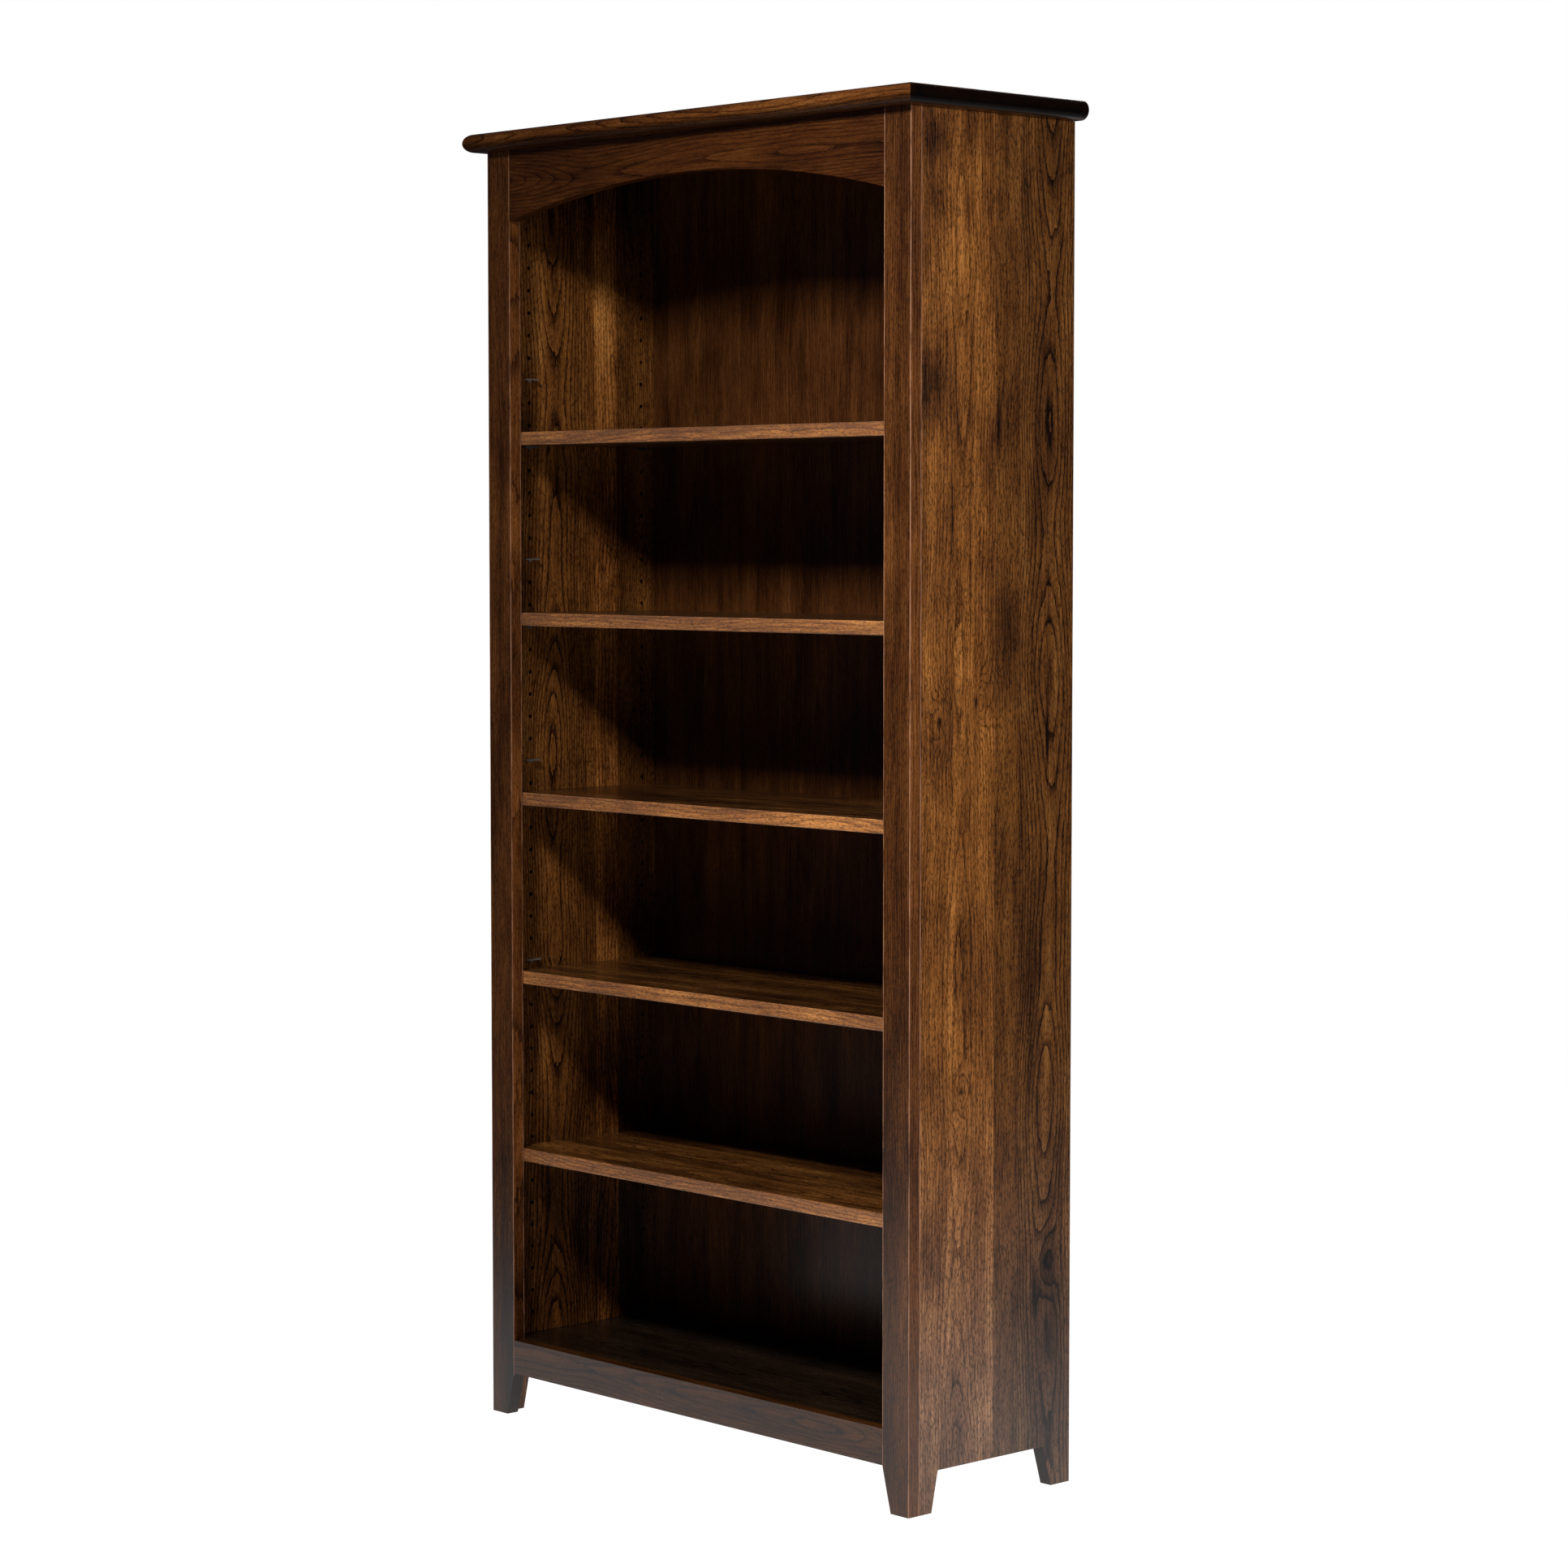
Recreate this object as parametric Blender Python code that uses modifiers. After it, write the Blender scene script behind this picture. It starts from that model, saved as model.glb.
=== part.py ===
"""Bookcase with adjustable shelves.

A solid hickory case on four tapered feet: two side panels, a face frame with an arched top rail,
a fixed bottom shelf, a thin back panel, a bull-nosed top board and five loose shelves. Each loose
shelf lies on four steel supports, whose pins push into rows of holes in the side panels.

Metres, +Z up, the front faces -Y. The origin is on the floor under the middle of the top board.
"""

import math

import bmesh
import bpy
from mathutils import Matrix, Vector

OBJECT_NAME = "bookcase"

# ---- Driving dimensions ------------------------------------------------------------------

CASE_WIDTH = 0.858  # outside of one side panel to outside of the other
CASE_DEPTH = 0.300  # front of the face frame to the back edges
CASE_HEIGHT = 1.803  # floor to underside of the top board

TOP_THICKNESS = 0.026
TOP_OVERHANG_FRONT = 0.026
TOP_OVERHANG_SIDE = 0.025

PANEL_THICKNESS = 0.019  # side panels
FRAME_THICKNESS = 0.019  # stiles and rails
SHELF_THICKNESS = 0.019  # loose shelves and bottom shelf
BACK_THICKNESS = 0.006

STILE_WIDTH = 0.0485
STILE_FOOT_WIDTH = 0.033  # at the floor
BOTTOM_RAIL_UNDERSIDE = 0.061
BOTTOM_RAIL_HEIGHT = 0.048
TOP_RAIL_END_HEIGHT = 0.0985  # where it meets the stiles
ARCH_RISE = 0.044

SIDE_CUT_HEIGHT = 0.0545  # height of the gap between the feet of a side panel
FRONT_FOOT_DEPTH = 0.0415  # at the floor, from the front of the face frame
FRONT_FOOT_TOP_DEPTH = 0.053
BACK_FOOT_DEPTH = 0.035
BACK_FOOT_TOP_DEPTH = 0.051

TENON_LENGTH = 0.025
TENON_THICKNESS = 0.0065
TENON_SHOULDER = 0.008  # above and below a tenon
DADO_DEPTH = 0.006  # groove that holds the bottom shelf
RABBET_WIDTH = 0.0095  # step that holds the back panel
CLEAT_THICKNESS = 0.019  # strips that the top board is screwed to
CLEAT_DEPTH = 0.038

SHELF_COUNT = 5
SHELF_SIDE_GAP = 0.002
SHELF_FRONT_GAP = 0.0015
SHELF_BACK_GAP = 0.002

HOLE_PITCH = 0.032
PIN_DIAMETER = 0.005
PIN_CLEARANCE = 0.0002  # all round a pin in its hole
HOLE_DIAMETER = PIN_DIAMETER + 2 * PIN_CLEARANCE
HOLE_DEPTH = 0.011
FIRST_HOLE_RISE = 0.030  # lowest hole, above the bottom shelf
HOLE_TOP_MARGIN = 0.120  # least distance of the highest hole from the top board
FRONT_HOLE_SETBACK = 0.0585  # from the front of the face frame
BACK_HOLE_SETBACK = 0.031  # from the back edge
PIN_LENGTH = 0.009  # the part in the hole
PLATE_THICKNESS = 0.0022
PLATE_WIDTH = 0.024
PLATE_REACH = 0.008
SPARE_HOLES_UP = (3, 3, 2, 1)  # holes from a shelf to the spare support above it, top shelf first

BULLNOSE_STEPS = 3
EASED_EDGE = 0.0015
ARCH_SEGMENTS = 24
ROUND_SIDES = 8

CLEARANCE = 0.0003  # between pieces that touch

TOP_SCREW = {"length": 0.038, "head": 0.0040, "shank": 0.0020}
BACK_SCREW = {"length": 0.018, "head": 0.0030, "shank": 0.0014}
TOP_SCREWS_PER_CLEAT = 3
BACK_SCREWS_PER_SIDE = 3
BACK_SCREWS_PER_EDGE = 2  # along the bottom shelf and the back cleat
SCREW_INSET = 0.080  # outer screws, from the ends of what they hold
SCREW_CLEARANCE = 0.0002

# ---- Derived places ----------------------------------------------------------------------

TOP_WIDTH = CASE_WIDTH + 2 * TOP_OVERHANG_SIDE
TOP_DEPTH = CASE_DEPTH + TOP_OVERHANG_FRONT
FRONT_Y = -TOP_DEPTH / 2 + TOP_OVERHANG_FRONT
BACK_Y = FRONT_Y + CASE_DEPTH
OUTER_X = CASE_WIDTH / 2
WALL_X = OUTER_X - PANEL_THICKNESS  # inner face of a side panel
OPENING_X = OUTER_X - STILE_WIDTH  # inner edge of a stile
FRAME_BACK_Y = FRONT_Y + FRAME_THICKNESS
BACK_PANEL_Y = BACK_Y - BACK_THICKNESS  # front face of the back panel
FLOOR_TOP_Z = BOTTOM_RAIL_UNDERSIDE + BOTTOM_RAIL_HEIGHT  # top of the bottom shelf and its rail
FIRST_HOLE_Z = FLOOR_TOP_Z + FIRST_HOLE_RISE
HOLE_COUNT = int((CASE_HEIGHT - HOLE_TOP_MARGIN - FIRST_HOLE_Z) / HOLE_PITCH + 1.001)
SHELF_STEP = (HOLE_COUNT - 1) // (SHELF_COUNT + 1)  # holes from one shelf to the next
PIN_RADIUS = PIN_DIAMETER / 2
PLATE_TOP = PIN_RADIUS  # above the pin's axis


def hole_z(index):
    """Height of a hole's axis, counted from the lowest hole."""
    return FIRST_HOLE_Z + index * HOLE_PITCH


def shelf_hole(number):
    """Hole that carries a shelf. Shelf 1 is the highest."""
    return SHELF_STEP * (SHELF_COUNT + 1 - number) - 1


# ---- Scene helpers -----------------------------------------------------------------------


def clear_scene():
    for obj in list(bpy.data.objects):
        bpy.data.objects.remove(obj, do_unlink=True)


def new_collection(name, parent):
    collection = bpy.data.collections.new(name)
    parent.children.link(collection)
    return collection


def material(name, colour, roughness, metallic=0.0):
    made = bpy.data.materials.new(name)
    made.use_nodes = True
    shader = made.node_tree.nodes["Principled BSDF"]
    shader.inputs["Base Color"].default_value = (*colour, 1.0)
    shader.inputs["Roughness"].default_value = roughness
    shader.inputs["Metallic"].default_value = metallic
    made.diffuse_color = (*colour, 1.0)
    return made


def add_object(name, data, collection, finish=None):
    obj = bpy.data.objects.new(name, data)
    collection.objects.link(obj)
    if finish is not None:
        data.materials.append(finish)
    return obj


def mesh_from(name, bm):
    mesh = bpy.data.meshes.new(name)
    bm.to_mesh(mesh)
    bm.free()
    return mesh


def box(name, low, high, collection, finish=None, eased=0.0):
    """A box between two corners, with its origin at its middle."""
    low, high = Vector(low), Vector(high)
    bm = bmesh.new()
    bmesh.ops.create_cube(bm, size=1.0)
    bmesh.ops.scale(bm, vec=high - low, verts=bm.verts)
    if eased:
        bmesh.ops.bevel(bm, geom=bm.edges[:], offset=eased, segments=1, affect="EDGES")
    obj = add_object(name, mesh_from(name, bm), collection, finish)
    obj.location = (low + high) / 2
    return obj


def as_cutter(obj):
    obj.hide_render = True
    obj.display_type = "WIRE"
    return obj


def cutter_box(name, low, high):
    return as_cutter(box(name, low, high, CUTTERS))


def cut(target, cutter):
    """Takes the cutter's shape out of the target. All the cutters of one piece act at once."""
    modifier = target.modifiers.get("cuts")
    if modifier is None:
        modifier = target.modifiers.new("cuts", "BOOLEAN")
        modifier.operation = "DIFFERENCE"
        modifier.solver = "EXACT"
        modifier.operand_type = "COLLECTION"
        modifier.collection = new_collection(target.name + "_cutters", CUTTERS)
    modifier.collection.objects.link(cutter)


def join(target, other):
    modifier = target.modifiers.new("join_" + other.name, "BOOLEAN")
    modifier.operation = "UNION"
    modifier.solver = "EXACT"
    modifier.object = as_cutter(other)


def evaluated_mesh(obj):
    """The object's shape with its modifiers, as a new mesh."""
    bpy.context.view_layer.update()
    graph = bpy.context.evaluated_depsgraph_get()
    return bpy.data.meshes.new_from_object(obj.evaluated_get(graph))


def outline_curve(name, points, half_thickness, bevel=0.0):
    """A filled flat outline, as thick as twice half_thickness. A bevel rounds its rim inwards."""
    curve = bpy.data.curves.new(name, "CURVE")
    curve.dimensions = "2D"
    curve.fill_mode = "BOTH"
    curve.extrude = half_thickness - bevel
    curve.bevel_depth = bevel
    curve.offset = -bevel
    curve.bevel_resolution = BULLNOSE_STEPS
    spline = curve.splines.new("POLY")
    spline.points.add(len(points) - 1)
    for point, (across, up) in zip(spline.points, points):
        point.co = (across, up, 0.0, 1.0)
    spline.use_cyclic_u = True
    return curve


def plate(name, points, thickness, turn, place, collection, finish=None, bevel=0.0):
    """A mesh plate cut to a flat outline, turned and then moved into place."""
    curve = outline_curve(name + "_outline", points, thickness / 2, bevel)
    guide = bpy.data.objects.new(name + "_guide", curve)
    CUTTERS.objects.link(guide)
    mesh = evaluated_mesh(guide)
    bpy.data.objects.remove(guide, do_unlink=True)
    bm = bmesh.new()
    bm.from_mesh(mesh)
    bmesh.ops.remove_doubles(bm, verts=bm.verts, dist=1e-5)
    bmesh.ops.transform(bm, matrix=turn, verts=bm.verts)
    bmesh.ops.recalc_face_normals(bm, faces=bm.faces)
    obj = add_object(name, mesh_from(name, bm), collection, finish)
    obj.location = place
    return obj


# A front outline is drawn in X and Z, and a side outline in Y and Z.
FACING_FRONT = Matrix.Rotation(math.pi / 2, 4, "X")
FACING_SIDE = Matrix(((0, 0, 1, 0), (1, 0, 0, 0), (0, 1, 0, 0), (0, 0, 0, 1)))


def cylinder_along_x(name, radius, low_x, high_x, collection):
    """A low-sided cylinder along X, with a flat on top. Its origin is on its axis at X = 0."""
    bm = bmesh.new()
    turn = Matrix.Rotation(math.pi / 2, 4, "Y") @ Matrix.Rotation(math.pi / ROUND_SIDES, 4, "Z")
    middle = Matrix.Translation(((low_x + high_x) / 2, 0, 0))
    bmesh.ops.create_cone(
        bm,
        cap_ends=True,
        segments=ROUND_SIDES,
        radius1=radius / math.cos(math.pi / ROUND_SIDES),
        radius2=radius / math.cos(math.pi / ROUND_SIDES),
        depth=high_x - low_x,
        matrix=middle @ turn,
    )
    return add_object(name, mesh_from(name, bm), collection)


def turned(name, profile, collection, finish=None):
    """A profile of (radius, height) points, top to bottom, turned about Z."""
    bm = bmesh.new()
    verts = [bm.verts.new((radius, 0.0, height)) for radius, height in profile]
    for first, second in zip(verts, verts[1:]):
        bm.edges.new((first, second))
    obj = add_object(name, mesh_from(name, bm), collection, finish)
    spin = obj.modifiers.new("turn", "SCREW")
    spin.axis = "Z"
    spin.steps = ROUND_SIDES
    spin.render_steps = ROUND_SIDES
    spin.use_merge_vertices = True
    spin.merge_threshold = 0.00001
    return obj


# ---- Finishes ----------------------------------------------------------------------------


def make_finishes():
    return {
        "case": material("stained_hickory_case", (0.150, 0.072, 0.036), 0.42),
        "frame": material("stained_hickory_frame", (0.105, 0.050, 0.032), 0.40),
        "shelf": material("stained_hickory_shelf", (0.170, 0.080, 0.040), 0.42),
        "back": material("stained_back_panel", (0.070, 0.030, 0.018), 0.50),
        "steel": material("nickel_plated_steel", (0.62, 0.61, 0.58), 0.28, 1.0),
        "screw": material("zinc_plated_steel", (0.55, 0.54, 0.50), 0.38, 1.0),
    }


# ---- Case --------------------------------------------------------------------------------


def make_top_board():
    """A board with a full half-round nose on its front and ends, and a square back edge."""
    nose = TOP_THICKNESS / 2
    half_width = TOP_WIDTH / 2
    extra = TOP_THICKNESS  # the rounded back edge lies behind the saw cut
    front, back = -TOP_DEPTH / 2, TOP_DEPTH / 2 + extra
    outline = [(-half_width, front), (half_width, front), (half_width, back), (-half_width, back)]
    flat = Matrix.Identity(4)
    place = (0, 0, CASE_HEIGHT + CLEARANCE + nose)
    board = plate(
        "top_board", outline, TOP_THICKNESS, flat, place, PARTS, FINISH["case"], bevel=nose
    )
    reach = TOP_WIDTH
    saw = cutter_box(
        "top_board_back_saw",
        (-reach, TOP_DEPTH / 2, CASE_HEIGHT - TOP_THICKNESS),
        (reach, TOP_DEPTH / 2 + 2 * extra, CASE_HEIGHT + 3 * TOP_THICKNESS),
    )
    cut(board, saw)
    return board


def side_outline():
    """Side panel seen from the side, as (Y, Z) points."""
    front = FRAME_BACK_Y + CLEARANCE
    return [
        (front, 0.0),
        (FRONT_Y + FRONT_FOOT_DEPTH, 0.0),
        (FRONT_Y + FRONT_FOOT_TOP_DEPTH, SIDE_CUT_HEIGHT),
        (BACK_Y - BACK_FOOT_TOP_DEPTH, SIDE_CUT_HEIGHT),
        (BACK_Y - BACK_FOOT_DEPTH, 0.0),
        (BACK_Y, 0.0),
        (BACK_Y, CASE_HEIGHT),
        (front, CASE_HEIGHT),
    ]


def make_hole_row(name, side, y):
    """Cutter for one vertical row of blind holes in a side panel's inner face."""
    mouth = 0.002  # starts inside the case, so that it cuts through the face
    low_x, high_x = sorted((-side * mouth, side * HOLE_DEPTH))
    row = as_cutter(cylinder_along_x(name, HOLE_DIAMETER / 2, low_x, high_x, CUTTERS))
    row.location = (side * WALL_X, y, FIRST_HOLE_Z)
    repeat = row.modifiers.new("row", "ARRAY")
    repeat.count = HOLE_COUNT
    repeat.use_relative_offset = False
    repeat.use_constant_offset = True
    repeat.constant_offset_displace = (0, 0, HOLE_PITCH)
    return row


def make_side_panel(name, side):
    """side is -1 on the left and 1 on the right."""
    place = (side * (OUTER_X - PANEL_THICKNESS / 2), 0, 0)
    panel = plate(
        name, side_outline(), PANEL_THICKNESS, FACING_SIDE, place, PARTS, FINISH["case"]
    )
    dado_x = sorted((side * (WALL_X - PANEL_THICKNESS), side * (WALL_X + DADO_DEPTH)))
    dado = cutter_box(
        name + "_dado",
        (dado_x[0], FRAME_BACK_Y - PANEL_THICKNESS, FLOOR_TOP_Z - SHELF_THICKNESS - CLEARANCE),
        (dado_x[1], BACK_Y + PANEL_THICKNESS, FLOOR_TOP_Z + CLEARANCE),
    )
    rabbet_x = sorted((side * (WALL_X - PANEL_THICKNESS), side * (WALL_X + RABBET_WIDTH)))
    rabbet = cutter_box(
        name + "_rabbet",
        (rabbet_x[0], BACK_PANEL_Y - CLEARANCE, FLOOR_TOP_Z - SHELF_THICKNESS - CLEARANCE),
        (rabbet_x[1], BACK_Y + PANEL_THICKNESS, CASE_HEIGHT + PANEL_THICKNESS),
    )
    cut(panel, dado)
    cut(panel, rabbet)
    for row_name, y in (("front", FRONT_Y + FRONT_HOLE_SETBACK), ("back", BACK_Y - BACK_HOLE_SETBACK)):
        cut(panel, make_hole_row(f"{name}_{row_name}_holes", side, y))
    return panel


def make_stile(name, side):
    """Upright of the face frame, whose foot narrows below the bottom rail."""
    inner, outer = side * OPENING_X, side * OUTER_X
    foot = side * (OUTER_X - STILE_FOOT_WIDTH)
    outline = [
        (outer, 0.0),
        (foot, 0.0),
        (inner, BOTTOM_RAIL_UNDERSIDE),
        (inner, CASE_HEIGHT),
        (outer, CASE_HEIGHT),
    ]
    place = (0, FRONT_Y + FRAME_THICKNESS / 2, 0)
    stile = plate(name, outline, FRAME_THICKNESS, FACING_FRONT, place, PARTS, FINISH["frame"])
    for rail, low, high in (
        ("bottom", BOTTOM_RAIL_UNDERSIDE, FLOOR_TOP_Z),
        ("top", CASE_HEIGHT - TOP_RAIL_END_HEIGHT, CASE_HEIGHT),
    ):
        xs = sorted((side * (OPENING_X - TENON_LENGTH), side * (OPENING_X + TENON_LENGTH + CLEARANCE)))
        half = TENON_THICKNESS / 2 + CLEARANCE
        mortise = cutter_box(
            f"{name}_{rail}_mortise",
            (xs[0], place[1] - half, low + TENON_SHOULDER - CLEARANCE),
            (xs[1], place[1] + half, high - TENON_SHOULDER + CLEARANCE),
        )
        cut(stile, mortise)
    return stile


def add_tenons(rail, low, high):
    """A tenon on each end of a rail that stands between two heights."""
    middle_y = FRONT_Y + FRAME_THICKNESS / 2
    root = OPENING_X - TENON_LENGTH
    tip = OPENING_X + TENON_LENGTH
    for end, side in (("left", -1), ("right", 1)):
        xs = sorted((side * root, side * tip))
        tenon = box(
            f"{rail.name}_{end}_tenon",
            (xs[0], middle_y - TENON_THICKNESS / 2, low + TENON_SHOULDER),
            (xs[1], middle_y + TENON_THICKNESS / 2, high - TENON_SHOULDER),
            CUTTERS,
        )
        join(rail, tenon)


def arch_points(half_span, spring_z, rise):
    """Points of a circular arch, from its right end over the crown to its left end."""
    radius = (half_span**2 + rise**2) / (2 * rise)
    centre_z = spring_z + rise - radius
    sweep = math.asin(half_span / radius)
    angles = [sweep * (1 - 2 * step / ARCH_SEGMENTS) for step in range(ARCH_SEGMENTS + 1)]
    return [(radius * math.sin(a), centre_z + radius * math.cos(a)) for a in angles]


def make_top_rail():
    """Rail under the top board, with an arched lower edge."""
    half = OPENING_X - CLEARANCE
    spring_z = CASE_HEIGHT - TOP_RAIL_END_HEIGHT
    outline = [(-half, CASE_HEIGHT), (half, CASE_HEIGHT)] + arch_points(half, spring_z, ARCH_RISE)
    place = (0, FRONT_Y + FRAME_THICKNESS / 2, 0)
    rail = plate(
        "arched_top_rail", outline, FRAME_THICKNESS, FACING_FRONT, place, PARTS, FINISH["frame"]
    )
    add_tenons(rail, spring_z, CASE_HEIGHT)
    return rail


def make_bottom_rail():
    half = OPENING_X - CLEARANCE
    rail = box(
        "bottom_rail",
        (-half, FRONT_Y, BOTTOM_RAIL_UNDERSIDE),
        (half, FRAME_BACK_Y, FLOOR_TOP_Z),
        PARTS,
        FINISH["frame"],
    )
    add_tenons(rail, BOTTOM_RAIL_UNDERSIDE, FLOOR_TOP_Z)
    return rail


def make_bottom_shelf():
    """Fixed shelf, held in the grooves of the side panels."""
    half = WALL_X + DADO_DEPTH - CLEARANCE
    return box(
        "bottom_shelf",
        (-half, FRAME_BACK_Y + CLEARANCE, FLOOR_TOP_Z - SHELF_THICKNESS),
        (half, BACK_PANEL_Y - CLEARANCE, FLOOR_TOP_Z),
        PARTS,
        FINISH["shelf"],
    )


def make_back_panel():
    half = WALL_X + RABBET_WIDTH - CLEARANCE
    return box(
        "back_panel",
        (-half, BACK_PANEL_Y, FLOOR_TOP_Z - SHELF_THICKNESS),
        (half, BACK_Y, CASE_HEIGHT),
        PARTS,
        FINISH["back"],
    )


def make_cleat(name, middle_y):
    """Strip under the top board, between the side panels, that the top is screwed to."""
    half = WALL_X - CLEARANCE
    return box(
        name,
        (-half, middle_y - CLEAT_DEPTH / 2, CASE_HEIGHT - CLEAT_THICKNESS),
        (half, middle_y + CLEAT_DEPTH / 2, CASE_HEIGHT),
        PARTS,
        FINISH["case"],
    )


# ---- Screws ------------------------------------------------------------------------------


def screw_profile(size, grow=0.0, above=0.0):
    """Countersunk screw with its head's face at height 0. grow makes its hole's profile."""
    head, shank, length = size["head"] + grow, size["shank"] + grow, size["length"] + grow
    cone = head - shank
    return [
        (0.0, above),
        (head, above),
        (head, -grow),
        (shank, -grow - cone),
        (shank, -length + shank),
        (0.0, -length),
    ]


def add_screw(name, size, head_at, turn, held):
    """A screw, and its hole in each piece that it holds."""
    hole = as_cutter(turned(name + "_hole", screw_profile(size, SCREW_CLEARANCE, 0.002), CUTTERS))
    screw = turned(name, screw_profile(size), PARTS, FINISH["screw"])
    for obj in (hole, screw):
        obj.matrix_world = Matrix.Translation(head_at) @ turn
    for piece in held:
        cut(piece, hole)
    screw.data.shade_smooth()
    screw.data.set_sharp_from_angle(angle=math.radians(40))
    return screw


def spread(count, half_length):
    """Evenly spaced places from -half_length to half_length."""
    return [half_length * (2 * step / (count - 1) - 1) for step in range(count)]


POINTING_UP = Matrix.Rotation(math.pi, 4, "X")
POINTING_FORWARD = Matrix.Rotation(-math.pi / 2, 4, "X")


def add_top_screws(top, cleats):
    """Screws that run up through each cleat into the top board."""
    for cleat_name, cleat, y in cleats:
        for number, x in enumerate(spread(TOP_SCREWS_PER_CLEAT, WALL_X - SCREW_INSET), 1):
            head_at = (x, y, CASE_HEIGHT - CLEAT_THICKNESS + CLEARANCE)
            held = (cleat, top)
            add_screw(f"top_screw_{cleat_name}_{number}", TOP_SCREW, head_at, POINTING_UP, held)


def add_back_screws(back, panels, bottom_shelf, back_cleat):
    """Screws that hold the back panel to the side panels, the bottom shelf and the back cleat."""
    head_y = BACK_Y - CLEARANCE
    low, high = FLOOR_TOP_Z + SCREW_INSET, CASE_HEIGHT - SCREW_INSET
    for side_name, side, panel in (("left", -1, panels[0]), ("right", 1, panels[1])):
        x = side * (WALL_X + RABBET_WIDTH / 2)
        for number, offset in enumerate(spread(BACK_SCREWS_PER_SIDE, (high - low) / 2), 1):
            head_at = (x, head_y, (low + high) / 2 + offset)
            name = f"back_screw_{side_name}_{number}"
            add_screw(name, BACK_SCREW, head_at, POINTING_FORWARD, (back, panel))
    for edge, piece, z in (
        ("bottom", bottom_shelf, FLOOR_TOP_Z - SHELF_THICKNESS / 2),
        ("top", back_cleat, CASE_HEIGHT - CLEAT_THICKNESS / 2),
    ):
        for number, x in enumerate(spread(BACK_SCREWS_PER_EDGE, WALL_X / 2), 1):
            name = f"back_screw_{edge}_{number}"
            add_screw(name, BACK_SCREW, (x, head_y, z), POINTING_FORWARD, (back, piece))


# ---- Shelves and supports ----------------------------------------------------------------


def make_shelf(number):
    """Loose shelf, lying on the plates of its four supports."""
    underside = hole_z(shelf_hole(number)) + PLATE_TOP + CLEARANCE
    half = WALL_X - SHELF_SIDE_GAP
    return box(
        f"shelf_{number}",
        (-half, FRAME_BACK_Y + SHELF_FRONT_GAP, underside),
        (half, BACK_PANEL_Y - SHELF_BACK_GAP, underside + SHELF_THICKNESS),
        PARTS,
        FINISH["shelf"],
        eased=EASED_EDGE,
    )


def support_mesh():
    """Steel support: a flat plate on a pin. The origin is on the pin's axis, at the wall's face,
    and the plate reaches out along +X."""
    root = SHELF_SIDE_GAP - CLEARANCE  # the pin ends short of the shelf's end
    flat = box(
        "support_plate",
        (CLEARANCE, -PLATE_WIDTH / 2, PLATE_TOP - PLATE_THICKNESS),
        (PLATE_REACH, PLATE_WIDTH / 2, PLATE_TOP),
        CUTTERS,
    )
    pin = cylinder_along_x("support_pin", PIN_RADIUS, -PIN_LENGTH, root, CUTTERS)
    join(flat, pin)
    mesh = evaluated_mesh(flat)
    mesh.transform(flat.matrix_world)
    mesh.name = "shelf_support"
    for helper in (flat, pin):
        bpy.data.objects.remove(helper, do_unlink=True)
    mesh.materials.clear()
    mesh.materials.append(FINISH["steel"])
    return mesh


def add_support(name, mesh, side, y, z):
    """side is the wall that the pin goes into: -1 left, 1 right."""
    support = add_object(name, mesh, PARTS)
    support.location = (side * WALL_X, y, z)
    support.rotation_euler = (0, 0, 0 if side < 0 else math.pi)
    return support


def add_supports():
    mesh = support_mesh()
    rows = (("front", FRONT_Y + FRONT_HOLE_SETBACK), ("back", BACK_Y - BACK_HOLE_SETBACK))
    for number in range(1, SHELF_COUNT + 1):
        z = hole_z(shelf_hole(number))
        for row_name, y in rows:
            for side_name, side in (("left", -1), ("right", 1)):
                add_support(f"support_{number}_{row_name}_{side_name}", mesh, side, y, z)
    front_y = rows[0][1]
    for number, holes_up in enumerate(SPARE_HOLES_UP, 1):
        z = hole_z(shelf_hole(number) + holes_up)
        add_support(f"spare_support_{number}", mesh, -1, front_y, z)


# ---- Assembly ----------------------------------------------------------------------------

clear_scene()
PARTS = new_collection(OBJECT_NAME, bpy.context.scene.collection)
CUTTERS = new_collection("cutters", bpy.context.scene.collection)
FINISH = make_finishes()

top_board = make_top_board()
side_panels = (make_side_panel("left_side_panel", -1), make_side_panel("right_side_panel", 1))
make_stile("left_stile", -1)
make_stile("right_stile", 1)
make_top_rail()
make_bottom_rail()
bottom_shelf = make_bottom_shelf()
back_panel = make_back_panel()

front_cleat_y = FRAME_BACK_Y + CLEARANCE + CLEAT_DEPTH / 2
back_cleat_y = BACK_PANEL_Y - CLEARANCE - CLEAT_DEPTH / 2
front_cleat = make_cleat("front_cleat", front_cleat_y)
back_cleat = make_cleat("back_cleat", back_cleat_y)
cleats = (("front", front_cleat, front_cleat_y), ("back", back_cleat, back_cleat_y))
add_top_screws(top_board, cleats)
add_back_screws(back_panel, side_panels, bottom_shelf, back_cleat)

for shelf_number in range(1, SHELF_COUNT + 1):
    make_shelf(shelf_number)
add_supports()
bpy.context.view_layer.update()
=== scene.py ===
import functools
import math

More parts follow.
